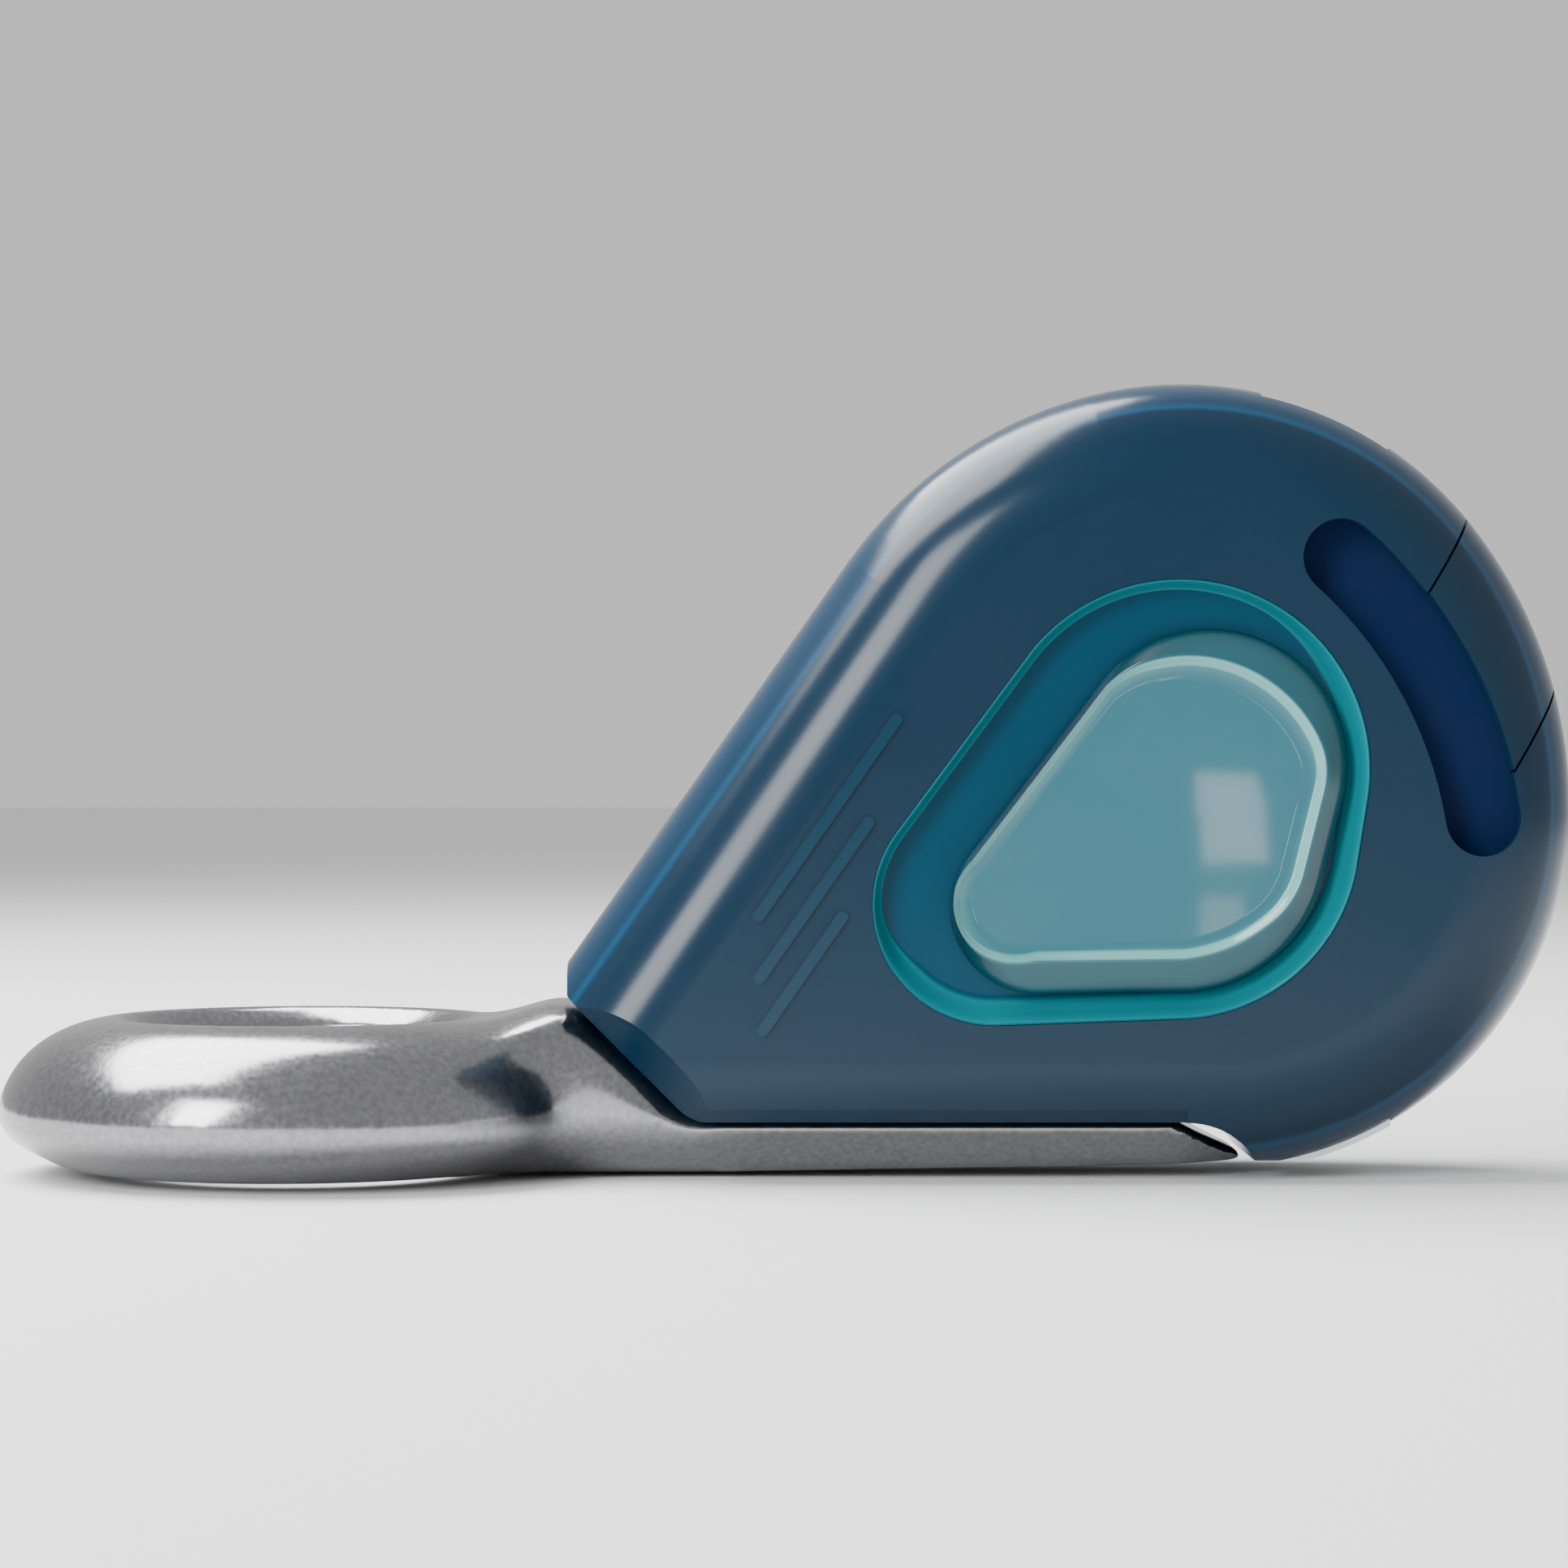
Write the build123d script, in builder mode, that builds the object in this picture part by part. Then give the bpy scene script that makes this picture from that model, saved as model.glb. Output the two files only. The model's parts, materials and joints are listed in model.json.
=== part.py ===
"""Compact spring-loaded camming clamp for accessory cord: a polished eye with a housed, thumb-released cam.

Millimetres. The origin is the centre of the attachment eye. +X runs from the eye to the round end of the
housing, +Z is the axis of the eye, and the side with the thumb lever faces -Y.
"""
from build123d import *
from math import cos, exp, radians, sin
import os

os.makedirs("parts", exist_ok=True)

# Driving dimensions
shell_half = 10.0          # half the thickness of the housing
skin = 1.6                 # thickness of the flat shell walls
wall = 1.8                 # thickness of the rim walls
edge_round = 7.0           # rounding of the housing's long edges
plate_inner = 5.2          # |y| of the inner faces of the side plates
plate_outer = 6.4          # |y| of the outer faces of the side plates
running = 0.06             # radial running fit of the cam shaft
gap = 0.15                 # clearance between separate bodies

pivot = (45.5, 13.0)       # cam shaft axis in X, Z
shaft_radius = 3.0

crown_centre, crown_radius = (54.37, 21.17), 22.6
shoulder_radius = 27.82
belly_radius = 22.1
belly_middle = (56.0, 17.7)
brow_radius = 26.05        # flatter arc that leads into the long straight edge
edge_length = 29.7
heel_top = (16.9, 8.45)
heel_low = (17.0, 6.5)
sole_start = (24.5, -1.0)
sole_end = (54.2, -1.0)
lobe_heel = (58.6, -3.5)

eye_hole_radius = 9.7
eye_outer_radius = 18.4
ring_crest_radius = 13.2

slot_radius, slot_width = 26.7, 4.6
slot_start, slot_end = 9.2, 48.0

catch_direction = 57.0     # the catch slides along this direction in X, Z
catch_width = 10.3
catch_middle = (74.0, 29.75)
catch_inner_radius = 29.1

rope_left, rope_right = 60.2, 66.0
rope_half = 4.3

screw_places = [(32.0, 20.0), (46.2, 35.8), (68.2, 7.4), (24.5, 9.5)]
tang_rivets = [(26.0, 4.2), (34.0, 3.2)]
anvil_rivets = [(68.0, 23.5), (67.7, 28.6)]


def at_y(y):
    """Drawing plane facing the front at depth y. A positive extrusion runs towards -Y."""
    return Plane.XZ.offset(-y)


def polar(centre, radius, angle):
    """Point at a radius and an angle in degrees from a centre."""
    return (centre[0] + radius * cos(radians(angle)), centre[1] + radius * sin(radians(angle)))


def save(builder, name):
    builder.part.label = name
    export_step(builder.part, f"parts/{name}.step")


# ---------------------------------------------------------------- shared profiles

with BuildSketch() as housing_outline:
    with BuildLine():
        crown = CenterArc(crown_centre, crown_radius, 105.0, -66.5)
        shoulder = JernArc(crown @ 1, crown % 1, shoulder_radius, -40.5)
        belly = JernArc(shoulder @ 1, shoulder % 1, belly_radius, -73)
        Line(belly @ 1, lobe_heel)
        TangentArc(sole_end, lobe_heel, tangent=(1, 0))
        Line(sole_end, sole_start)
        Line(sole_start, heel_low)
        brow = JernArc(crown @ 0, (crown % 0) * -1, brow_radius, 40.0)
        edge = Line(brow @ 1, brow @ 1 + (brow % 1) * edge_length)
        Line(heel_low, edge @ 1)
    make_face()
    fillet(housing_outline.vertices().sort_by_distance((*sole_start, 0))[0], radius=2.5)

pocket_circles = [((42.60, 12.11), 7.25), ((53.73, 20.18), 11.37), ((53.49, 16.22), 10.98)]
lever_circles = [((45.12, 11.87), 5.08), ((55.52, 20.33), 8.22), ((53.73, 15.74), 8.85)]


def teardrop(circles, margin=0.0):
    """Outline wrapped round three circles, moved outwards by a margin."""
    with BuildSketch() as wrapped:
        for middle, radius in circles:
            with Locations(middle):
                Circle(radius + margin)
        make_hull()
    return wrapped.sketch


with BuildSketch() as slot_outline:
    SlotArc(CenterArc(pivot, slot_radius, slot_start, slot_end - slot_start), slot_width)

with BuildSketch() as marker_outline:
    SlotArc(CenterArc(pivot, slot_radius, 5.5, 3.5), 3.4)

with BuildSketch() as spring_leg_slot:
    SlotArc(CenterArc(pivot, 6.7, 70.0, 25.0), 1.8)

with BuildSketch() as catch_strip:
    with Locations(Location((*catch_middle, 0), (0, 0, catch_direction))):
        Rectangle(40, catch_width)

with BuildSketch() as catch_window:
    add(catch_strip.sketch)
    with Locations(pivot):
        Circle(catch_inner_radius - 0.1, mode=Mode.SUBTRACT)
    with Locations((80.0, 40.0)):
        Rectangle(50, 44, mode=Mode.INTERSECT)

def inner_outline(inset):
    """Housing outline moved inwards, without the lobe that meets the bar."""
    climb = (1.169 * inset - 1.85) / 1.393    # where the inset end face meets the inset long edge
    with BuildSketch() as inner:
        with BuildLine():
            top = CenterArc(crown_centre, crown_radius - inset, 105.0, -66.5)
            front = JernArc(top @ 0, (top % 0) * -1, brow_radius - inset, 40.0)
            side = JernArc(top @ 1, top % 1, shoulder_radius - inset, -40.5)
            under = JernArc(side @ 1, side % 1, belly_radius - inset, -57)
            Polyline(
                under @ 1,
                (57.0, sole_end[1] + inset),
                (sole_start[0] + 0.414 * inset, sole_start[1] + inset),
                (heel_top[0] + 0.819 * inset + 0.574 * climb, heel_top[1] - 0.574 * inset + 0.819 * climb),
                front @ 1,
            )
        make_face()
    return inner.sketch


# ---------------------------------------------------------------- metal frame with the eye

bar_top = sole_start[1] - gap


def bar_section(x, top, crest, side, low):
    """Eight-sided section of the arm across X, from (half width, height) pairs on one side."""
    with BuildSketch(Plane.YZ.offset(x)) as section:
        with BuildLine():
            half = [top, crest, side, low]
            Polyline(*half, *[(-y, z) for y, z in reversed(half)], close=True)
        make_face()
    return section.sketch


with BuildPart() as arm:
    # from the ring to the housing: the crest rises while the arm narrows
    add(bar_section(3.0, (6.0, 4.8), (16.8, 1.7), (17.4, -1.6), (11.0, -4.3)))
    add(bar_section(7.0, (5.6, 4.8), (15.0, 2.3), (15.8, -1.6), (10.0, -4.35)))
    add(bar_section(10.5, (5.0, 4.9), (12.2, 3.1), (12.9, -1.5), (8.5, -4.4)))
    add(bar_section(13.5, (4.6, 5.3), (9.4, 4.0), (9.9, -1.5), (6.4, -4.45)))
    add(bar_section(17.0, (4.2, 6.4), (7.4, 5.2), (7.7, -1.45), (4.8, -4.5)))
    add(bar_section(25.0, (4.2, 6.6), (6.9, 5.4), (7.0, -1.45), (4.2, -4.5)))
    loft(ruled=True)
    Cylinder(ring_crest_radius, 20.0, mode=Mode.SUBTRACT)
    # the housing's end face and sole sit on it
    with BuildSketch(at_y(9.0)):
        with BuildLine():
            Polyline(
                (heel_low[0] - gap, heel_low[1]), (heel_low[0] - gap, 12.0), (30.0, 12.0), (30.0, bar_top),
                (sole_start[0] - gap, bar_top), close=True,
            )
        make_face()
    extrude(amount=18.0, mode=Mode.SUBTRACT)

with BuildPart() as bar:
    add(bar_section(24.0, (6.6, bar_top), (6.9, bar_top - 0.3), (7.0, -1.45), (4.2, -4.5)))
    add(bar_section(53.8, (6.6, bar_top), (6.9, bar_top - 0.3), (7.0, -1.45), (4.6, -3.95)))
    add(bar_section(58.3, (3.0, -3.3), (3.2, -3.4), (3.2, -3.5), (3.0, -3.8)))
    loft(ruled=True)

with BuildPart() as eye_frame:
    with BuildSketch(Plane.XZ):
        with BuildLine():
            rim = Spline(
                (10.9, 5.0), (13.2, 4.65), (16.0, 3.3), (18.1, 0.5), (18.35, -1.3), (15.4, -3.65), (10.9, -4.35),
                tangents=[(1, -0.02), (-1, -0.02)],
            )
            lower = RadiusArc(rim @ 1, (eye_hole_radius, -3.5), -1.2)
            upper = RadiusArc((eye_hole_radius, 4.1), rim @ 0, -1.2)
            Line(lower @ 1, upper @ 0)
        make_face()
    revolve(axis=Axis.Z)
    add(arm.part)
    add(bar.part)
    # tang between the side plates
    with BuildSketch(at_y(plate_inner - 0.1)):
        with BuildLine():
            Polyline(
                (19.5, 3.0), (22.0, 5.4), (28.0, 7.4), (36.0, 4.8), (41.0, 3.0), (52.0, 2.6), (54.0, -2.4),
                (24.8, -2.4), close=True,
            )
        make_face()
    extrude(amount=2 * plate_inner - 0.2)
    with BuildSketch(at_y(plate_inner)):
        with Locations(*tang_rivets):
            Circle(1.1)
        with Locations(screw_places[3]):
            Circle(2.2)
    extrude(amount=2 * plate_inner, mode=Mode.SUBTRACT)
    with Locations((0, 0, 0)):
        Cylinder(eye_hole_radius, 20.0, mode=Mode.SUBTRACT)
save(eye_frame, "eye_frame")

# ---------------------------------------------------------------- housing shells

with BuildPart() as pebble:
    with BuildSketch(Plane.XZ):
        with BuildLine():
            crown = CenterArc(crown_centre, crown_radius, 105.0, -66.5)
            shoulder = JernArc(crown @ 1, crown % 1, shoulder_radius, -40.5)
            belly = JernArc(shoulder @ 1, shoulder % 1, belly_radius, -88)
            brow = JernArc(crown @ 0, (crown % 0) * -1, brow_radius, 40.0)
            edge = Line(brow @ 1, brow @ 1 + (brow % 1) * 1.3 * edge_length)
            Polyline(edge @ 1, (20.0, (belly @ 1).Y), belly @ 1)
        make_face()
    extrude(amount=shell_half)
    fillet(pebble.faces().sort_by(Axis.Y)[0].edges(), radius=edge_round)

with BuildPart() as shell_blank:
    with BuildSketch(Plane.XZ):
        add(housing_outline.sketch)
    extrude(amount=shell_half)
    add(pebble.part, mode=Mode.INTERSECT)
    # bevels along the sole and the end face
    with BuildSketch(Plane.YZ.offset(15.0)):
        with Locations((-shell_half, sole_start[1])):
            Rectangle(2.0, 2.0, rotation=45)
    extrude(amount=sole_end[0] - 15.0, mode=Mode.SUBTRACT)
    end_face = Plane(origin=(heel_low[0] - 3.0, 0, heel_low[1] + 3.0), x_dir=(0, 1, 0), z_dir=(1, 0, -1))
    with BuildSketch(end_face):
        with Locations((-shell_half, 0.0)):
            Rectangle(2.8, 2.8, rotation=45)
    extrude(amount=15.0, mode=Mode.SUBTRACT)
    # hollow for the plates and the mechanism, stepping in under the rounded edge
    for inset, depth in ((wall, 6.7), (2.6, 7.55), (3.8, shell_half - skin)):
        with BuildSketch(Plane.XZ):
            add(inner_outline(inset))
        extrude(amount=depth, mode=Mode.SUBTRACT)
    # opening in the end face and sole for the tang and bar
    with BuildSketch(Plane.XZ):
        with BuildLine():
            Polyline((16.0, 4.0), (21.4, 7.4), (26.0, 3.5), (56.0, 3.5), (56.0, -3.0), (16.0, -3.0), close=True)
        make_face()
    extrude(amount=plate_inner, mode=Mode.SUBTRACT)
    # rope mouths through the rim, top and bottom
    with Locations((0.5 * (rope_left + rope_right), -0.5 * (rope_half + 1.0), 20.0)):
        Box(rope_right - rope_left + 2.2, rope_half + 1.0, 60.0, mode=Mode.SUBTRACT)

with BuildPart() as front_shell:
    add(shell_blank.part)
    # screw posts
    with BuildSketch(at_y(-plate_outer - 0.05)):
        with Locations(*screw_places):
            Circle(2.2)
    extrude(amount=shell_half - skin - plate_outer)
    with BuildSketch(at_y(-plate_outer)):
        with Locations(*screw_places):
            Circle(0.95)
    extrude(amount=2.3, mode=Mode.SUBTRACT)
    with BuildSketch(at_y(-5.0)):
        add(teardrop(pocket_circles))
        add(slot_outline.sketch)
    extrude(amount=10.0, mode=Mode.SUBTRACT)
    with BuildSketch(Plane.XZ):
        add(catch_window.sketch)
    extrude(amount=12.0, mode=Mode.SUBTRACT)
save(front_shell, "front_shell")

with BuildPart() as rear_shell:
    mirror(shell_blank.part, about=Plane.XZ)
    with BuildSketch(at_y(shell_half - skin)):
        with Locations(*screw_places):
            Circle(2.2)
    extrude(amount=shell_half - skin - plate_outer - 0.05)
    with BuildSketch(at_y(shell_half)):
        with Locations(*screw_places):
            Circle(1.0)
        with Locations(pivot):
            Circle(6.4)
    extrude(amount=4.0, mode=Mode.SUBTRACT)
    with BuildSketch(at_y(shell_half)):
        with Locations(*screw_places):
            Circle(2.0)
    extrude(amount=1.45, mode=Mode.SUBTRACT)
save(rear_shell, "rear_shell")

with BuildPart() as rear_cap:
    with BuildSketch(at_y(shell_half + 0.5)):
        with Locations(pivot):
            Circle(6.3)
    extrude(amount=2.6)
    with BuildSketch(at_y(8.35)):
        with Locations(pivot):
            Circle(7.4)
    extrude(amount=0.65)
    chamfer(rear_cap.faces().sort_by(Axis.Y)[-1].edges(), length=0.4)
    with BuildSketch(at_y(shell_half + 0.6)):
        with Locations(Location((*pivot, 0), (0, 0, 55))):
            SlotOverall(7.0, 1.2)
    extrude(amount=0.6, mode=Mode.SUBTRACT)
save(rear_cap, "rear_cap")

# ---------------------------------------------------------------- side plates, rivets, spacers

with BuildPart() as front_plate:
    with BuildSketch(at_y(-plate_inner)):
        add(inner_outline(wall + 0.4))
        with Locations(pivot):
            Circle(shaft_radius + running, mode=Mode.SUBTRACT)
        with Locations(*tang_rivets, *anvil_rivets, *screw_places):
            Circle(1.1, mode=Mode.SUBTRACT)
        add(catch_window.sketch, mode=Mode.SUBTRACT)
    extrude(amount=plate_outer - plate_inner)
save(front_plate, "front_plate")

with BuildPart() as rear_plate:
    with BuildSketch(at_y(plate_outer)):
        add(inner_outline(wall + 0.4))
        with Locations(pivot):
            Circle(shaft_radius + running, mode=Mode.SUBTRACT)
        with Locations(*tang_rivets, *anvil_rivets, *screw_places):
            Circle(1.1, mode=Mode.SUBTRACT)
        with Locations(polar(pivot, 4.9, -90.0)):
            Circle(0.6, mode=Mode.SUBTRACT)
    extrude(amount=plate_outer - plate_inner)
save(rear_plate, "rear_plate")

with BuildPart() as plate_rivets:
    with BuildSketch(at_y(plate_outer)):
        with Locations(*tang_rivets, *anvil_rivets):
            Circle(1.05)
    extrude(amount=2 * plate_outer)
    with BuildSketch(at_y(plate_outer + 0.27)):
        with Locations(*tang_rivets):
            Circle(1.8)
        with Locations(*anvil_rivets):
            Circle(1.3)
    extrude(amount=0.25)
    with BuildSketch(at_y(-plate_outer - 0.02)):
        with Locations(*tang_rivets):
            Circle(1.8)
    extrude(amount=0.25)
save(plate_rivets, "plate_rivets")

with BuildPart() as plate_spacers:
    with BuildSketch(at_y(plate_inner - 0.02)):
        with Locations(*screw_places):
            Circle(2.0)
            Circle(1.05, mode=Mode.SUBTRACT)
    extrude(amount=2 * plate_inner - 0.04)
save(plate_spacers, "plate_spacers")

with BuildPart() as shell_screws:
    with BuildSketch(at_y(9.1)):
        with Locations(*screw_places):
            Circle(0.9)
    extrude(amount=17.6)
    with BuildSketch(at_y(9.2)):
        with Locations(*screw_places):
            Circle(1.9)
    extrude(amount=0.6)
    with BuildSketch(at_y(9.2)):
        with Locations(*screw_places):
            RegularPolygon(0.8, 6)
    extrude(amount=0.4, mode=Mode.SUBTRACT)
save(shell_screws, "shell_screws")

with BuildPart() as anvil:
    with BuildSketch(at_y(plate_inner - 0.05)):
        with Locations((68.25, 26.0)):
            Rectangle(2 * (68.25 - rope_right), 11.0)
        with Locations(pivot):
            Circle(catch_inner_radius + 0.2, mode=Mode.INTERSECT)
        with Locations(*anvil_rivets):
            Circle(1.1, mode=Mode.SUBTRACT)
    extrude(amount=2 * plate_inner - 0.1)
    with BuildSketch(at_y(plate_inner)):
        with Locations(*[(rope_right, 22.0 + 1.5 * i) for i in range(6)]):
            Circle(0.3)
    extrude(amount=2 * plate_inner, mode=Mode.SUBTRACT)
save(anvil, "anvil")

# ---------------------------------------------------------------- cam on its shaft

cam_start, cam_end = 14.0, 46.0
cam_low_radius, cam_growth = 15.2, 0.97


def cam_face(angle):
    """Spiral gripping face: the radius grows with the angle."""
    return polar(pivot, cam_low_radius * exp(cam_growth * radians(angle - cam_start)), angle)


with BuildPart() as cam:
    with BuildSketch(at_y(4.0)):
        with Locations(pivot):
            Circle(8.6)
        with BuildLine():
            face = Spline([cam_face(a) for a in range(14, 47, 4)])
            Polyline(face @ 1, polar(pivot, 22.0, 58), polar(pivot, 8.6, 110), pivot, polar(pivot, 8.6, -60), face @ 0)
        make_face()
    extrude(amount=8.0)
    # grip teeth across the face
    with BuildSketch(at_y(4.5)):
        with Locations(*[Location((*cam_face(a), 0), (0, 0, a)) for a in range(18, 46, 4)]):
            Rectangle(0.7, 0.7, rotation=45)
    extrude(amount=9.0, mode=Mode.SUBTRACT)
    # bore, spring pocket and the travel slot for the spring leg
    with BuildSketch(at_y(4.5)):
        with Locations(pivot):
            Circle(shaft_radius + 0.01)
    extrude(amount=9.0, mode=Mode.SUBTRACT)
    with BuildSketch(at_y(4.5)):
        with Locations(pivot):
            Circle(6.0)
        add(spring_leg_slot.sketch)
    extrude(amount=3.9, mode=Mode.SUBTRACT)
save(cam, "cam")

with BuildPart() as cam_shaft:
    with BuildSketch(at_y(7.6)):
        with Locations(pivot):
            Circle(shaft_radius)
    extrude(amount=7.6 + plate_outer + 0.2)
    with BuildSketch(at_y(-plate_outer)):
        with Locations(pivot):
            Circle(1.6)
    extrude(amount=2.9)
    with BuildSketch(at_y(7.3)):
        with Locations(pivot):
            Circle(shaft_radius + 0.1)
            Circle(shaft_radius - 0.45, mode=Mode.SUBTRACT)
    extrude(amount=0.6, mode=Mode.SUBTRACT)
    with BuildSketch(at_y(-4.9)):
        with Locations(polar(pivot, 2.3, 60), polar(pivot, 2.3, 240)):
            Circle(0.46)
    extrude(amount=3.0, mode=Mode.SUBTRACT)
save(cam_shaft, "cam_shaft")

with BuildPart() as drive_pins:
    with BuildSketch(at_y(-4.95)):
        with Locations(polar(pivot, 2.3, 60), polar(pivot, 2.3, 240)):
            Circle(0.45)
    extrude(amount=4.0)
save(drive_pins, "drive_pins")

with BuildPart() as shaft_circlip:
    with BuildSketch(at_y(7.25)):
        with Locations(pivot):
            Circle(4.2)
            Circle(shaft_radius - 0.44, mode=Mode.SUBTRACT)
        with Locations((pivot[0], pivot[1] - 4.0)):
            Rectangle(3.4, 6.0, mode=Mode.SUBTRACT)
    extrude(amount=0.5)
save(shaft_circlip, "shaft_circlip")

with BuildPart() as thrust_washers:
    for inner_face in (plate_inner - 0.1, -4.15):
        with BuildSketch(at_y(inner_face)):
            with Locations(pivot):
                Circle(4.4)
                Circle(shaft_radius + running, mode=Mode.SUBTRACT)
        extrude(amount=0.95)
save(thrust_washers, "thrust_washers")

with BuildPart() as torsion_spring:
    with BuildLine():
        coil = Helix(pitch=1.0, height=2.5, radius=4.9, center=(pivot[0], 1.4, pivot[1]), direction=(0, 1, 0))
    with BuildSketch(Plane(origin=coil @ 0, z_dir=coil % 0)):
        Circle(0.35)
    sweep(path=coil)
    with BuildSketch(at_y(6.1)):
        with Locations(((coil @ 1).X, (coil @ 1).Z)):
            Circle(0.35)
    extrude(amount=6.1 - (coil @ 1).Y)
    with BuildSketch(Plane(origin=coil @ 0, z_dir=((coil @ 0).X - pivot[0], 0, (coil @ 0).Z - pivot[1]))):
        Circle(0.35)
    extrude(amount=2.2)
save(torsion_spring, "torsion_spring")

with BuildPart() as cam_sector:
    with BuildSketch(at_y(-plate_outer - 0.35)):
        with Locations(pivot):
            Circle(29.3)
            Circle(23.7, mode=Mode.SUBTRACT)
        with BuildLine():
            Polyline(pivot, polar(pivot, 40, -3), polar(pivot, 42, 26), polar(pivot, 40, 56), close=True)
        make_face(mode=Mode.INTERSECT)
        with Locations(belly_middle):
            Circle(19.2, mode=Mode.INTERSECT)
        with BuildLine():
            Polyline(
                polar(pivot, 5.0, -50), polar(pivot, 24.2, 8), polar(pivot, 24.2, 44), polar(pivot, 5.0, 120),
                close=True,
            )
        make_face()
        with Locations(pivot):
            Circle(5.4)
            Circle(1.62, mode=Mode.SUBTRACT)
        with Locations(polar(pivot, 2.3, 60), polar(pivot, 2.3, 240)):
            Circle(0.46, mode=Mode.SUBTRACT)
    extrude(amount=0.7)
save(cam_sector, "cam_sector")

with BuildPart() as open_marker:
    with BuildSketch(at_y(-plate_outer - 0.02)):
        add(marker_outline.sketch)
    extrude(amount=0.2)
save(open_marker, "open_marker")

# ---------------------------------------------------------------- thumb lever in its bezel

with BuildPart() as lever_bezel:
    with BuildSketch(at_y(-7.6)):
        add(teardrop(pocket_circles, 0.8))
    extrude(amount=0.75)
    with BuildSketch(at_y(-7.6)):
        add(teardrop(pocket_circles, -0.04))
    extrude(amount=shell_half - 7.6)
    with BuildSketch(at_y(-8.4)):
        add(teardrop(pocket_circles, -0.6))
    extrude(amount=4.0, mode=Mode.SUBTRACT)
    lip_edges = lever_bezel.faces().sort_by(Axis.Y)[0].inner_wires()[0].edges()
    chamfer(lip_edges, length=0.4)
    with BuildSketch(at_y(-7.0)):
        with Locations(pivot):
            Circle(3.6)
    extrude(amount=4.0, mode=Mode.SUBTRACT)
save(lever_bezel, "lever_bezel")

with BuildPart() as thumb_lever:
    with BuildSketch(at_y(-8.6)):
        add(teardrop(lever_circles))
    extrude(amount=2.0)
    chamfer(thumb_lever.faces().sort_by(Axis.Y)[0].edges(), length=0.7)
    with BuildSketch(at_y(-7.5)):
        with Locations(pivot):
            Circle(3.3)
    extrude(amount=1.2)
    with BuildSketch(at_y(-9.6)):
        add(teardrop(lever_circles, -2.0))
    extrude(amount=2.0, mode=Mode.SUBTRACT)
    with BuildSketch(at_y(-7.0)):
        with Locations(pivot):
            Circle(1.62)
        with Locations(polar(pivot, 2.3, 60), polar(pivot, 2.3, 240)):
            Circle(0.46)
    extrude(amount=2.35, mode=Mode.SUBTRACT)
save(thumb_lever, "thumb_lever")

with BuildPart() as thumb_pad:
    with BuildSketch(at_y(-9.62)):
        add(teardrop(lever_circles, -2.05))
    extrude(amount=0.6)
    fillet(thumb_pad.faces().sort_by(Axis.Y)[0].edges(), radius=0.3)
save(thumb_pad, "thumb_pad")

# ---------------------------------------------------------------- rim catch

with BuildPart() as rim_catch:
    add(pebble.part)
    with BuildSketch(Plane.XZ):
        with Locations(Location((*catch_middle, 0), (0, 0, catch_direction))):
            Rectangle(40, catch_width - 2 * gap)
        with Locations(pivot):
            Circle(catch_inner_radius, mode=Mode.SUBTRACT)
        with Locations((80.0, 40.0)):
            Rectangle(50, 44, mode=Mode.INTERSECT)
    extrude(amount=12.0, mode=Mode.INTERSECT)
    # hollow behind the face, open towards the anvil
    with BuildSketch(at_y(1.0)):
        with Locations(pivot):
            Circle(31.4)
    extrude(amount=8.6, mode=Mode.SUBTRACT)
    with BuildSketch(at_y(1.0)):
        add(housing_outline.sketch)
    extrude(amount=1.3, mode=Mode.SUBTRACT)
save(rim_catch, "rim_catch")

with BuildPart() as catch_spring:
    with BuildSketch(at_y(-1.5)):
        with BuildLine():
            leaf = ThreePointArc(polar(pivot, 31.3, 21.5), polar(pivot, 30.9, 26.0), polar(pivot, 31.3, 30.5))
            offset(leaf, amount=0.12, side=Side.RIGHT)
        make_face()
    extrude(amount=3.5)
save(catch_spring, "catch_spring")

# ---------------------------------------------------------------- rope guides

guides = (("upper_guide", 38.2, 60.0, inner_outline(0.4)), ("lower_guide", -8.0, 3.4, housing_outline.sketch))
for guide_name, guide_low, guide_high, guide_outline in guides:
    with BuildPart() as guide:
        with BuildSketch(at_y(5.1)):
            add(guide_outline)
        extrude(amount=10.2)
        with Locations((0.5 * (rope_left + rope_right), 0.0, 0.5 * (guide_low + guide_high))):
            Box(rope_right - rope_left + 1.9, 10.2, guide_high - guide_low, mode=Mode.INTERSECT)
            Box(rope_right - rope_left, 2 * rope_half, guide_high - guide_low, mode=Mode.SUBTRACT)
    save(guide, guide_name)

# ---------------------------------------------------------------- grip ribs and stop pin

with BuildPart() as grip_ribs:
    with BuildSketch(at_y(-shell_half)):
        for rib_middle, rib_length in (((32.7, 17.3), 15.0), ((31.9, 12.4), 12.0), ((31.2, 8.0), 9.0)):
            with Locations(Location((*rib_middle, 0), (0, 0, 55))):
                SlotOverall(rib_length, 0.7)
    extrude(amount=0.2)
save(grip_ribs, "grip_ribs")

with BuildPart() as stop_pin:
    with BuildSketch(at_y(plate_inner - 0.02)):
        with Locations((44.0, 27.5)):
            Circle(1.2)
    extrude(amount=2 * plate_inner - 0.04)
save(stop_pin, "stop_pin")
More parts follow.
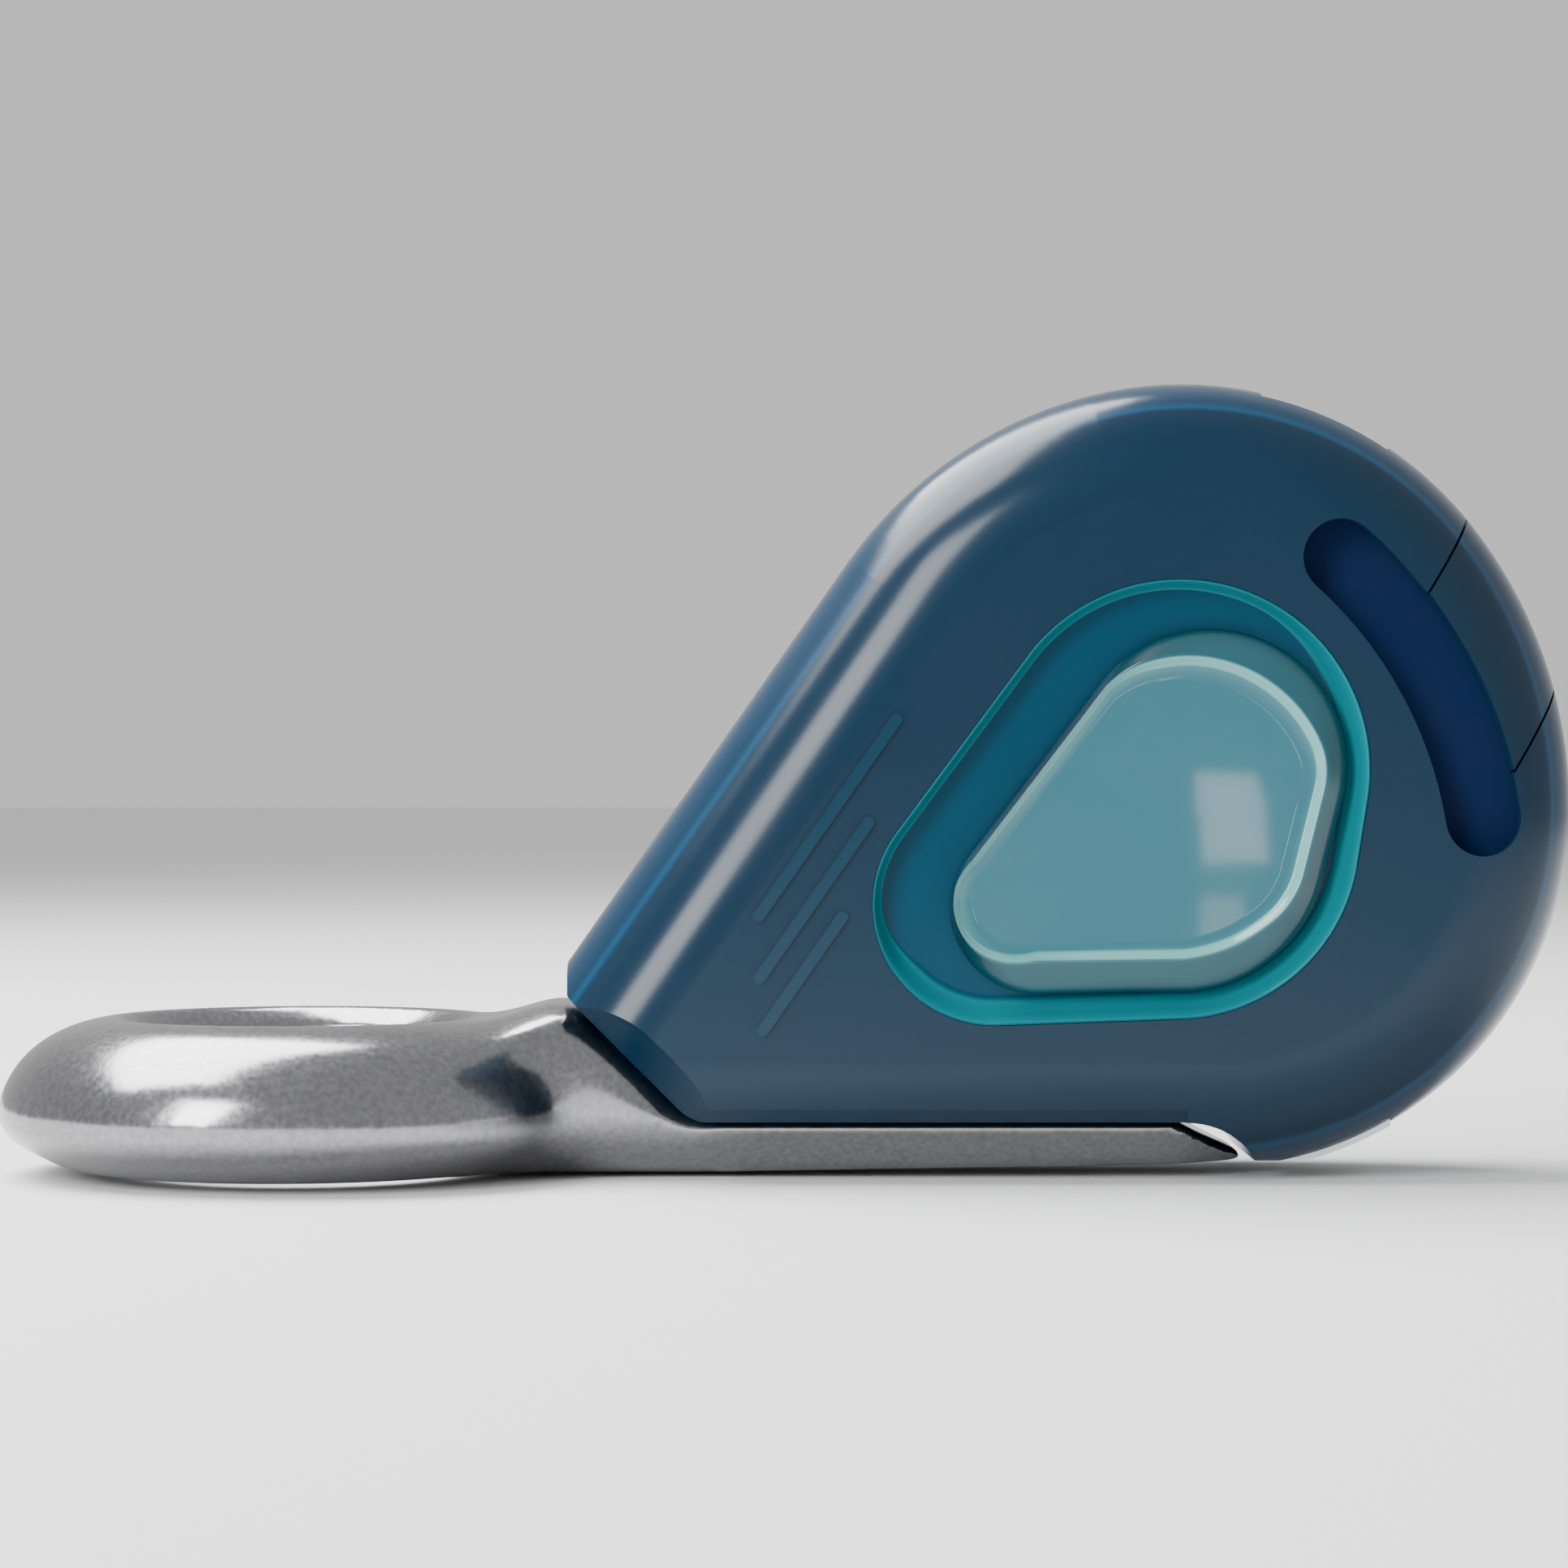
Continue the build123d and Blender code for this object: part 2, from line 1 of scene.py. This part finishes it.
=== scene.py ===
"""Looks of the spring-loaded camming clamp.

Every CAD node gets its material. Smoother pieces take the place of the eye, the thumb lever with its pad, and the
bezel that lines the lever's recess. Then come the plain stage, the lights and the camera.
"""
import json
import math
import bmesh
import bpy
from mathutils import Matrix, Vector


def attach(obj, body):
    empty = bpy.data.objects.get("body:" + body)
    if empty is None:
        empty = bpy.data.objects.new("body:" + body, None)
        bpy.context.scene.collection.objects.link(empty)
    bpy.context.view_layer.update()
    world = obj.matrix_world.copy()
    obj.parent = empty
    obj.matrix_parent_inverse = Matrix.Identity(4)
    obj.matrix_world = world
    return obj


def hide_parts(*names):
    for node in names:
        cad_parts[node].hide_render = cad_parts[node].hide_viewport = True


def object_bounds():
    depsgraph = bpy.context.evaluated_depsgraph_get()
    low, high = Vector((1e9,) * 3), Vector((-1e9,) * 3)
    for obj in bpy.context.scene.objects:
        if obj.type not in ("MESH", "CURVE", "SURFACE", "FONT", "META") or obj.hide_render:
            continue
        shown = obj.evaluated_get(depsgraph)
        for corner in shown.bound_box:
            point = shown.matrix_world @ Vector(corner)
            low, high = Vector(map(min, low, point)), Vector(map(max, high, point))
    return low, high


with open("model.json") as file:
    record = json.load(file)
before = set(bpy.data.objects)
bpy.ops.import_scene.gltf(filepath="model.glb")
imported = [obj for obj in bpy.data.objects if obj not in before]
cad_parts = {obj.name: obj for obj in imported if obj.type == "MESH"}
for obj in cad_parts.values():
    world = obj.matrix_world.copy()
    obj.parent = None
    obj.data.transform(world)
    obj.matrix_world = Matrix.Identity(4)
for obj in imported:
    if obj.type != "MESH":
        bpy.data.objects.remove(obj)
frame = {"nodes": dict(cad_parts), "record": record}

cad_low, cad_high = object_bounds()
MM = 0.001
LEVER_CENTRE = (51.5, 16.0)     # x and z of the lever's middle, in mm


# ------------------------------------------------------------------ materials

GRAIN_DETAIL = 3.0
GRAIN_DEPTH = 0.0001            # full height of the surface relief, in metres
NOISE_LOW, NOISE_HIGH = 0.3, 0.7    # most of the noise lies between these


def new_material(name):
    """Empty node material with its Principled shader."""
    mat = bpy.data.materials.new(name)
    mat.use_nodes = True
    shader = mat.node_tree.nodes["Principled BSDF"]
    return mat, mat.node_tree.nodes, mat.node_tree.links, shader


def grain(nodes, links, shader, scale, strength):
    """Fine surface relief from noise in object space."""
    coords = nodes.new("ShaderNodeTexCoord")
    noise = nodes.new("ShaderNodeTexNoise")
    noise.inputs["Scale"].default_value = scale
    noise.inputs["Detail"].default_value = GRAIN_DETAIL
    bump = nodes.new("ShaderNodeBump")
    bump.inputs["Strength"].default_value = strength
    bump.inputs["Distance"].default_value = GRAIN_DEPTH
    links.new(coords.outputs["Object"], noise.inputs["Vector"])
    links.new(noise.outputs["Fac"], bump.inputs["Height"])
    links.new(bump.outputs["Normal"], shader.inputs["Normal"])
    return noise


def ramp_between(nodes, links, source, low, high, target):
    """Drives a colour socket between two colours from a noise factor."""
    ramp = nodes.new("ShaderNodeValToRGB")
    ramp.color_ramp.elements[0].position = NOISE_LOW
    ramp.color_ramp.elements[1].position = NOISE_HIGH
    ramp.color_ramp.elements[0].color = (*low, 1.0)
    ramp.color_ramp.elements[1].color = (*high, 1.0)
    links.new(source.outputs["Fac"], ramp.inputs["Fac"])
    links.new(ramp.outputs["Color"], target)


def range_between(nodes, links, source, limits, target):
    """Drives a number socket between two values from a noise factor."""
    scale = nodes.new("ShaderNodeMapRange")
    scale.inputs["From Min"].default_value = NOISE_LOW
    scale.inputs["From Max"].default_value = NOISE_HIGH
    scale.inputs["To Min"].default_value = limits[0]
    scale.inputs["To Max"].default_value = limits[1]
    links.new(source.outputs["Fac"], scale.inputs["Value"])
    links.new(scale.outputs["Result"], target)


def metal(name, dark, pale, rough, scale=900.0, strength=0.05):
    """Bare metal whose tone and roughness vary with its grain."""
    mat, nodes, links, shader = new_material(name)
    noise = grain(nodes, links, shader, scale, strength)
    shader.inputs["Metallic"].default_value = 1.0
    ramp_between(nodes, links, noise, dark, pale, shader.inputs["Base Color"])
    range_between(nodes, links, noise, rough, shader.inputs["Roughness"])
    return mat


def plastic(name, dark, pale, rough, strength=0.03, specular=0.5):
    """Opaque plastic or coating whose tone and roughness vary with its grain."""
    mat, nodes, links, shader = new_material(name)
    noise = grain(nodes, links, shader, 350.0, strength)
    ramp_between(nodes, links, noise, dark, pale, shader.inputs["Base Color"])
    range_between(nodes, links, noise, rough, shader.inputs["Roughness"])
    shader.inputs["IOR"].default_value = 1.5
    shader.inputs["Specular IOR Level"].default_value = specular
    return mat


def signed_ramp(nodes, links, source, stops):
    """Colour ramp over a number from -1 to 1: stops are (value, colour)."""
    scale = nodes.new("ShaderNodeMapRange")
    scale.inputs["From Min"].default_value = -1.0
    scale.inputs["From Max"].default_value = 1.0
    links.new(source, scale.inputs["Value"])
    ramp = nodes.new("ShaderNodeValToRGB")
    while len(ramp.color_ramp.elements) < len(stops):
        ramp.color_ramp.elements.new(0.5)
    for element, (value, color) in zip(ramp.color_ramp.elements, stops):
        element.position = (value + 1) / 2
        element.color = (*color, 1.0)
    links.new(scale.outputs["Result"], ramp.inputs["Fac"])
    return ramp.outputs["Color"]


def vector_math(nodes, links, operation, first, second=None):
    """Vector node whose inputs are sockets or fixed vectors."""
    node = nodes.new("ShaderNodeVectorMath")
    node.operation = operation
    for socket, value in zip(node.inputs, (first, second)):
        if isinstance(value, tuple):
            socket.default_value = value
        elif value is not None:
            links.new(value, socket)
    return node


def slope_ramp(nodes, links, stops):
    """Colour ramp over how squarely a surface faces along the piece's own Y axis, either way."""
    coords = nodes.new("ShaderNodeTexCoord")
    along = vector_math(nodes, links, "DOT_PRODUCT", coords.outputs["Normal"], (0.0, 1.0, 0.0))
    size = nodes.new("ShaderNodeMath")
    size.operation = "ABSOLUTE"
    links.new(along.outputs["Value"], size.inputs[0])
    return signed_ramp(nodes, links, size.outputs["Value"], stops)


def sloped_plastic(name, face_color, side_painted_light, face_from, face_to, rough, transmission, coat, coat_rough,
                   painted_lines=()):
    """Tinted plastic with its own tint on its flat faces and painted light, a lighter tint, on its sides; painted
    highlight and shade can be multiplied in at chosen slopes.
    """
    mat, nodes, links, shader = new_material(name)
    noise = grain(nodes, links, shader, 120.0, 0.004)
    # painted light on the sides: a lighter side tint where the surface turns away from the piece's Y axis
    colour = slope_ramp(nodes, links, [(face_from, side_painted_light), (face_to, face_color)])
    # painted highlight and painted shade: the colour is brightened and darkened at chosen slopes
    if painted_lines:
        depth = slope_ramp(nodes, links, [(slope, (share, share, share)) for slope, share in painted_lines])
        painted_line_mix = nodes.new("ShaderNodeMixRGB")
        painted_line_mix.blend_type = "MULTIPLY"
        painted_line_mix.inputs["Fac"].default_value = 1.0
        links.new(colour, painted_line_mix.inputs["Color1"])
        links.new(depth, painted_line_mix.inputs["Color2"])
        colour = painted_line_mix.outputs["Color"]
    links.new(colour, shader.inputs["Base Color"])
    range_between(nodes, links, noise, rough, shader.inputs["Roughness"])
    shader.inputs["IOR"].default_value = 1.30
    shader.inputs["Specular IOR Level"].default_value = 0.3
    shader.inputs["Coat Weight"].default_value = coat
    shader.inputs["Coat Roughness"].default_value = coat_rough
    shader.inputs["Transmission Weight"].default_value = transmission
    return mat


# tones of the lever by how far its surface leans away from its middle: -1 faces the middle, 1 faces outwards; the
# pale tones are a painted highlight on the crest facing the middle, the dark ones painted shade down the outer wall
LEVER_PAINTED_TONES = [
    (-0.60, (0.13, 0.36, 0.35)), (-0.30, (0.06, 0.24, 0.25)), (-0.08, (0.014, 0.108, 0.142)),
    (0.06, (0.014, 0.108, 0.142)), (0.22, (0.004, 0.060, 0.080)), (0.45, (0.006, 0.068, 0.088)),
    (0.70, (0.002, 0.034, 0.050)), (1.0, (0.001, 0.014, 0.028))]


def lever_look(centre):
    """Aqua plastic with a painted highlight where its crest faces the middle of the lever and painted shade down its
    outer wall.
    """
    mat, nodes, links, shader = new_material("aqua_lever")
    noise = grain(nodes, links, shader, 900.0, 0.01)
    coords = nodes.new("ShaderNodeTexCoord")
    away = vector_math(nodes, links, "SUBTRACT", coords.outputs["Object"], centre)
    flat = vector_math(nodes, links, "MULTIPLY", away.outputs["Vector"], (1.0, 0.0, 1.0))
    unit = vector_math(nodes, links, "NORMALIZE", flat.outputs["Vector"])
    outward = vector_math(nodes, links, "DOT_PRODUCT", unit.outputs["Vector"], coords.outputs["Normal"])
    # painted highlight and painted shade by how the surface leans from the lever's middle
    tone = signed_ramp(nodes, links, outward.outputs["Value"], LEVER_PAINTED_TONES)
    links.new(tone, shader.inputs["Base Color"])
    range_between(nodes, links, noise, (0.30, 0.36), shader.inputs["Roughness"])
    shader.inputs["IOR"].default_value = 1.4
    shader.inputs["Coat Weight"].default_value = 0.5
    shader.inputs["Coat Roughness"].default_value = 0.03
    return mat


# painted light: the rounded sides of shell, catch and ribs take this lighter blue, which stands in for light through
# the plastic's edges
RIM_BLUE_PAINTED_LIGHT = (0.001, 0.046, 0.108)
# Brightness by slope, painted: a painted highlight line with a painted shade hollow beside it imitates the wall's
# inner side seen through the rounded edge. Nothing inside the wall is modelled for it.
PAINTED_WALL_LINES = [(0.0, 1.0), (0.60, 0.95), (0.665, 1.9), (0.70, 0.72), (0.86, 0.85), (0.96, 1.0)]

polished = metal(
    "polished_steel_grain", (0.23, 0.23, 0.24), (0.31, 0.31, 0.32), (0.16, 0.21), scale=2600.0, strength=0.04)
satin = metal("satin_steel", (0.42, 0.43, 0.45), (0.55, 0.56, 0.58), (0.25, 0.36))
spring = metal("spring_steel", (0.34, 0.34, 0.36), (0.46, 0.46, 0.48), (0.18, 0.28))
spacer_metal = metal("satin_aluminium", (0.62, 0.63, 0.65), (0.74, 0.75, 0.77), (0.28, 0.38))
plate_navy = plastic(
    "navy_anodised", (0.001, 0.018, 0.055), (0.002, 0.026, 0.075), (0.30, 0.42), strength=0.01)
sector_navy = plastic(
    "matte_navy", (0.000, 0.008, 0.042), (0.000, 0.010, 0.048), (0.75, 0.85), strength=0.01, specular=0.15)
shell_glass = sloped_plastic(
    "tinted_shell", face_color=(0.002, 0.034, 0.074), side_painted_light=RIM_BLUE_PAINTED_LIGHT, face_from=0.35, face_to=0.95,
    rough=(0.18, 0.24), transmission=0.5, coat=0.25, coat_rough=0.18, painted_lines=PAINTED_WALL_LINES)
catch_glass = sloped_plastic(
    "catch_tint", face_color=(0.004, 0.034, 0.070), side_painted_light=RIM_BLUE_PAINTED_LIGHT, face_from=0.35, face_to=0.95,
    rough=(0.18, 0.24), transmission=0.5, coat=0.25, coat_rough=0.18, painted_lines=PAINTED_WALL_LINES)
# painted light: the bezel's walls take a much lighter teal than its floor
bezel_teal = sloped_plastic(
    "teal_bezel", face_color=(0.0, 0.040, 0.076), side_painted_light=(0.0, 0.15, 0.18), face_from=0.86, face_to=0.985,
    rough=(0.30, 0.36), transmission=0.0, coat=0.15, coat_rough=0.12)
rib_blue = sloped_plastic(
    "rib_tint", face_color=(0.004, 0.050, 0.098), side_painted_light=RIM_BLUE_PAINTED_LIGHT, face_from=0.35, face_to=0.95,
    rough=(0.18, 0.24), transmission=0.5, coat=0.25, coat_rough=0.12)
lever_aqua = lever_look((LEVER_CENTRE[0] * MM, 0.0, LEVER_CENTRE[1] * MM))
acetal = plastic("white_acetal", (0.60, 0.60, 0.57), (0.68, 0.68, 0.65), (0.35, 0.5))
orange = plastic("signal_orange", (0.70, 0.18, 0.02), (0.78, 0.22, 0.03), (0.4, 0.5))

LOOKS = {
    "eye_frame": polished,
    "front_shell": shell_glass,
    "rear_shell": shell_glass,
    "front_plate": plate_navy,
    "rear_plate": plate_navy,
    "anvil": satin,
    "cam": satin,
    "cam_shaft": satin,
    "cam_sector": sector_navy,
    "thumb_lever": lever_aqua,
    "thumb_pad": lever_aqua,
    "lever_bezel": bezel_teal,
    "drive_pins": satin,
    "torsion_spring": spring,
    "thrust_washers": acetal,
    "shaft_circlip": spring,
    "rim_catch": catch_glass,
    "catch_spring": spring,
    "plate_rivets": plate_navy,
    "plate_spacers": spacer_metal,
    "shell_screws": satin,
    "upper_guide": spacer_metal,
    "lower_guide": spacer_metal,
    "rear_cap": bezel_teal,
    "open_marker": orange,
    "grip_ribs": rib_blue,
    "stop_pin": satin,
}

for node_name, look in LOOKS.items():
    mesh = frame["nodes"][node_name].data
    mesh.materials.clear()
    mesh.materials.append(look)
BODY_OF = {node: body for body, nodes in frame["record"]["behaviour"]["bodies"].items() for node in nodes}


# ------------------------------------------------------------------ smoother stand-ins

def stand_in(obj, look, *node_names):
    """Gives a new piece its material and its CAD body, and hides the CAD nodes it stands for."""
    obj.data.materials.clear()
    obj.data.materials.append(look)
    for polygon in obj.data.polygons:
        polygon.use_smooth = True
    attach(obj, BODY_OF[node_names[0]])
    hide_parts(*node_names)
    return obj


def apply_modifiers(obj):
    """Replaces the piece's mesh with what its modifiers make of it, and removes them."""
    graph = bpy.context.evaluated_depsgraph_get()
    mesh = bpy.data.meshes.new_from_object(obj.evaluated_get(graph))
    obj.modifiers.clear()
    obj.data = mesh
    return mesh


def softened_copy(node, name, voxel, rounds, blend_x, blend_rounds):
    """Remeshed copy of a CAD node with its sharp edges eased, and more so between two places along X."""
    obj = bpy.data.objects.new(name, frame["nodes"][node].data.copy())
    bpy.context.collection.objects.link(obj)
    remesh = obj.modifiers.new("remesh", "REMESH")
    remesh.mode = "VOXEL"
    remesh.voxel_size = voxel
    smooth = obj.modifiers.new("smooth", "SMOOTH")
    smooth.factor = 0.5
    smooth.iterations = rounds
    mesh = apply_modifiers(obj)
    group = obj.vertex_groups.new(name="blend")
    for vertex in mesh.vertices:
        if blend_x[0] < vertex.co.x < blend_x[1]:
            share = (vertex.co.x - blend_x[0]) / (blend_x[1] - blend_x[0])
            group.add([vertex.index], math.sin(math.pi * share) ** 0.5, "REPLACE")
    ease = obj.modifiers.new("ease", "SMOOTH")
    ease.factor = 0.5
    ease.iterations = blend_rounds
    ease.vertex_group = "blend"
    apply_modifiers(obj)
    obj.vertex_groups.clear()
    return obj


eye = softened_copy(
    "eye_frame", "eye_frame_polished", voxel=0.45 * MM, rounds=14, blend_x=(11 * MM, 26 * MM), blend_rounds=60)
stand_in(eye, polished, "eye_frame")

# Outlines in the XZ plane, each a band wrapped round three circles: ((x, z), radius) in mm
LEVER_CIRCLES = [((45.12, 11.87), 5.08), ((55.52, 20.33), 8.22), ((53.73, 15.74), 8.85)]
CREST_CIRCLES = [((43.60, 12.35), 3.46), ((54.40, 18.70), 8.13), ((53.82, 16.55), 7.56)]
POCKET_CIRCLES = [((42.60, 12.11), 7.25), ((53.73, 20.18), 11.37), ((53.49, 16.22), 10.98)]
RING_POINTS = 240
NORMALS = [2 * math.pi * k / RING_POINTS for k in range(RING_POINTS)]

PIVOT = (45.5, 13.0)            # x and z of the shaft, in mm
BEZEL_HOLE = 3.6                # radius of the bezel's hole round the shaft, in mm
WALL_SPREAD = range(-24, 25, 4)  # degrees either side over which the lever's wall is averaged

LIP_LEAST, LIP_SHARE = 0.2, 0.42    # lip width in mm, and how much of the wall's width adds to it
DISH_STEPS = 12
DISH_MIDDLE, DISH_DROP = -10.04, 0.03   # depth of the dished face at its middle, and how much further out its edge is

# Lever, underside first: (share of the wall's width, share of the lip's width, depth in mm)
LEVER_PROFILE = [
    (0.05, 0.0, -8.6), (0.0, 0.0, -8.9), (0.0, 0.0, -9.45), (0.06, 0.0, -9.6), (0.30, 0.0, -9.9),
    (0.60, 0.0, -10.2), (0.85, 0.0, -10.42), (0.97, 0.0, -10.53), (1.0, 0.12, -10.56), (1.0, 0.28, -10.5),
    (1.0, 0.50, -10.36), (1.0, 0.75, -10.2), (1.0, 0.92, -10.1), (1.0, 1.1, -10.07)]

BEZEL_LIP = 0.14                # inset of the bezel's lip, in mm
BEZEL_THIN = 0.42               # width in mm of its wall where it is thinnest
BEZEL_ADDED, BEZEL_ADDED_LOW = 0.75, 0.35   # width it gains on its broad side, and the extra gain at the bottom
BEZEL_BROAD_SIDE = math.radians(-60)
BEZEL_FADE = (-0.6, 0.3)        # cosines between which the broad side begins
# Flange and lip: (inset, depth) in mm. Wall and floor: (share of the wall's width, depth in mm)
BEZEL_RIM = [(-0.8, -7.6), (-0.8, -8.35), (0.04, -8.35), (0.04, -9.98), (0.10, -10.0), (BEZEL_LIP, -9.98)]
BEZEL_WALL = [(0.10, -9.85), (0.30, -9.35), (0.55, -8.85), (0.80, -8.5), (1.0, -8.4), (1.12, -8.4)]
BEZEL_BORE = [(BEZEL_HOLE + 0.1, -8.4), (BEZEL_HOLE, -8.4), (BEZEL_HOLE, -7.6)]


def eased(low, high, value):
    """0 below low, 1 above high, smooth between."""
    share = min(1.0, max(0.0, (value - low) / (high - low)))
    return share * share * (3 - 2 * share)


def reach(circles, angle):
    """How far the wrapped outline reaches in one direction."""
    c, s = math.cos(angle), math.sin(angle)
    return max(x * c + z * s + r for (x, z), r in circles)


def lever_wall(angle):
    """Width of the lever's outer wall in mm, evened out: nothing on the upper left, broad at the bottom."""
    near = [angle + math.radians(step) for step in WALL_SPREAD]
    return sum(reach(LEVER_CIRCLES, a) - reach(CREST_CIRCLES, a) for a in near) / len(near)


def lever_lip(angle):
    """Width of the lip in mm, between the crest of the wall and the dished face."""
    return LIP_LEAST + LIP_SHARE * min(1.0, lever_wall(angle))


def bezel_wall(angle):
    """Width of the bezel's wall in mm, by the same angle: broad at the bottom, thin on the upper left."""
    shown = eased(*BEZEL_FADE, math.cos(angle - BEZEL_BROAD_SIDE))
    return BEZEL_THIN + shown * (BEZEL_ADDED + BEZEL_ADDED_LOW * max(0.0, -math.sin(angle)))


def outline_point(circles, angle, inset):
    """Point of the wrapped outline whose outward normal has this angle, moved inwards."""
    c, s = math.cos(angle), math.sin(angle)
    (x, z), r = max(circles, key=lambda k: k[0][0] * c + k[0][1] * s + k[1])
    return x + (r - inset) * c, z + (r - inset) * s


def outline_ring(circles, inset_of, y):
    """Ring at one depth, each point moved inwards by its own amount."""
    ring = []
    for a in NORMALS:
        x, z = outline_point(circles, a, inset_of(a))
        ring.append((x, y, z))
    return ring


def ringed_piece(name, rings, closed):
    """Skin over rings of (x, y, z) points in mm: joined into a loop, or capped at both ends."""
    mesh = bmesh.new()
    made = [[mesh.verts.new((x * MM, y * MM, z * MM)) for x, y, z in ring] for ring in rings]
    pairs = list(zip(made, made[1:]))
    if closed:
        pairs.append((made[-1], made[0]))
    else:
        mesh.faces.new(made[0])
        mesh.faces.new(made[-1])
    for outer, inner in pairs:
        for k in range(RING_POINTS):
            n = (k + 1) % RING_POINTS
            mesh.faces.new((outer[k], outer[n], inner[n], inner[k]))
    bmesh.ops.recalc_face_normals(mesh, faces=mesh.faces)
    data = bpy.data.meshes.new(name)
    mesh.to_mesh(data)
    mesh.free()
    obj = bpy.data.objects.new(name, data)
    bpy.context.collection.objects.link(obj)
    return obj


def lever_shape():
    """Lever from the underside, up the sloping wall, over the crest and down to the shallow dished face."""
    rings = []
    for wall, share, y in LEVER_PROFILE:
        rings.append(outline_ring(LEVER_CIRCLES, lambda a: wall * lever_wall(a) + share * lever_lip(a), y))
    edge = rings[-1]
    for step in range(1, DISH_STEPS):
        keep = 1 - step / DISH_STEPS
        ring = []
        for x, y, z in edge:
            x = LEVER_CENTRE[0] + (x - LEVER_CENTRE[0]) * keep
            z = LEVER_CENTRE[1] + (z - LEVER_CENTRE[1]) * keep
            ring.append((x, DISH_MIDDLE - DISH_DROP * keep ** 2, z))
        rings.append(ring)
    return ringed_piece("thumb_lever_dished", rings, closed=False)


def bezel_shape():
    """Bezel with its flange, a crisp lip, a wall broadest at the bottom, and a flat floor round the shaft."""
    rings = []
    for inset, y in BEZEL_RIM:
        rings.append(outline_ring(POCKET_CIRCLES, lambda a: inset, y))
    for share, y in BEZEL_WALL:
        rings.append(outline_ring(POCKET_CIRCLES, lambda a: BEZEL_LIP + share * bezel_wall(a), y))
    for radius, y in BEZEL_BORE:
        rings.append([(PIVOT[0] + radius * math.cos(a), y, PIVOT[1] + radius * math.sin(a)) for a in NORMALS])
    return ringed_piece("lever_bezel_sloped", rings, closed=True)


stand_in(lever_shape(), lever_aqua, "thumb_lever", "thumb_pad")
stand_in(bezel_shape(), bezel_teal, "lever_bezel")


# ------------------------------------------------------------------ stage, light, camera

FLOOR_SIZE = 8.0
FLOOR_GAP = 0.0002              # metres between the floor and the lowest point of the CAD box


def plane(name, size, place, facing):
    """Flat square at a place, turned to face a direction."""
    mesh = bpy.data.meshes.new(name)
    half = size / 2
    corners = [(-half, -half, 0), (half, -half, 0), (half, half, 0), (-half, half, 0)]
    mesh.from_pydata(corners, [], [(0, 1, 2, 3)])
    obj = bpy.data.objects.new(name, mesh)
    obj.location = place
    obj.rotation_euler = Vector(facing).to_track_quat("Z", "Y").to_euler()
    bpy.context.collection.objects.link(obj)
    return obj


floor = plane("floor", FLOOR_SIZE, (0, 0, cad_low.z - FLOOR_GAP), (0, 0, 1))
floor_mat, _, _, floor_shader = new_material("floor_pale")
floor_shader.inputs["Base Color"].default_value = (0.80, 0.80, 0.80, 1)
floor_shader.inputs["Roughness"].default_value = 0.9
floor.data.materials.append(floor_mat)

world = bpy.data.worlds.new("studio")
bpy.context.scene.world = world
world.use_nodes = True
room = world.node_tree.nodes["Background"]
room.inputs["Color"].default_value = (1, 1, 1, 1)
room.inputs["Strength"].default_value = 0.7


def softbox(name, place, target, width, height, power):
    """Rectangular lamp at a place, aimed at a target; metres and watts."""
    light = bpy.data.lights.new(name, "AREA")
    light.shape = "RECTANGLE"
    light.size = width
    light.size_y = height
    light.energy = power
    obj = bpy.data.objects.new(name, light)
    obj.location = place
    obj.rotation_euler = (Vector(target) - Vector(place)).to_track_quat("-Z", "Y").to_euler()
    bpy.context.collection.objects.link(obj)


middle = (cad_low + cad_high) / 2
softbox("overhead", middle + Vector((-0.197, 0.10, 0.371)), middle, width=0.50, height=0.27, power=6.5)
softbox("left_strip", middle + Vector((-0.36, -0.50, 0.26)), middle, width=0.22, height=0.42, power=5.0)
# two small lamps that the lever mirrors, where the photo shows a highlight like a window with a bar across it
softbox("window_upper", (0.1075, -0.514, 0.0130), (0.0586, -0.010, 0.0172), width=0.009, height=0.013, power=0.004)
softbox("window_lower", (0.1060, -0.514, -0.0005), (0.0577, -0.010, 0.0130), width=0.006, height=0.008, power=0.0010)

camera = bpy.data.cameras.new("camera")
camera.lens = 95.9
camera.sensor_width = 36.0
camera.clip_start = 0.01
viewpoint = bpy.data.objects.new("camera", camera)
viewpoint.location = (0.0301, -0.259, 0.0193)
viewpoint.rotation_euler = (math.radians(90), 0, 0)
bpy.context.collection.objects.link(viewpoint)
bpy.context.scene.camera = viewpoint
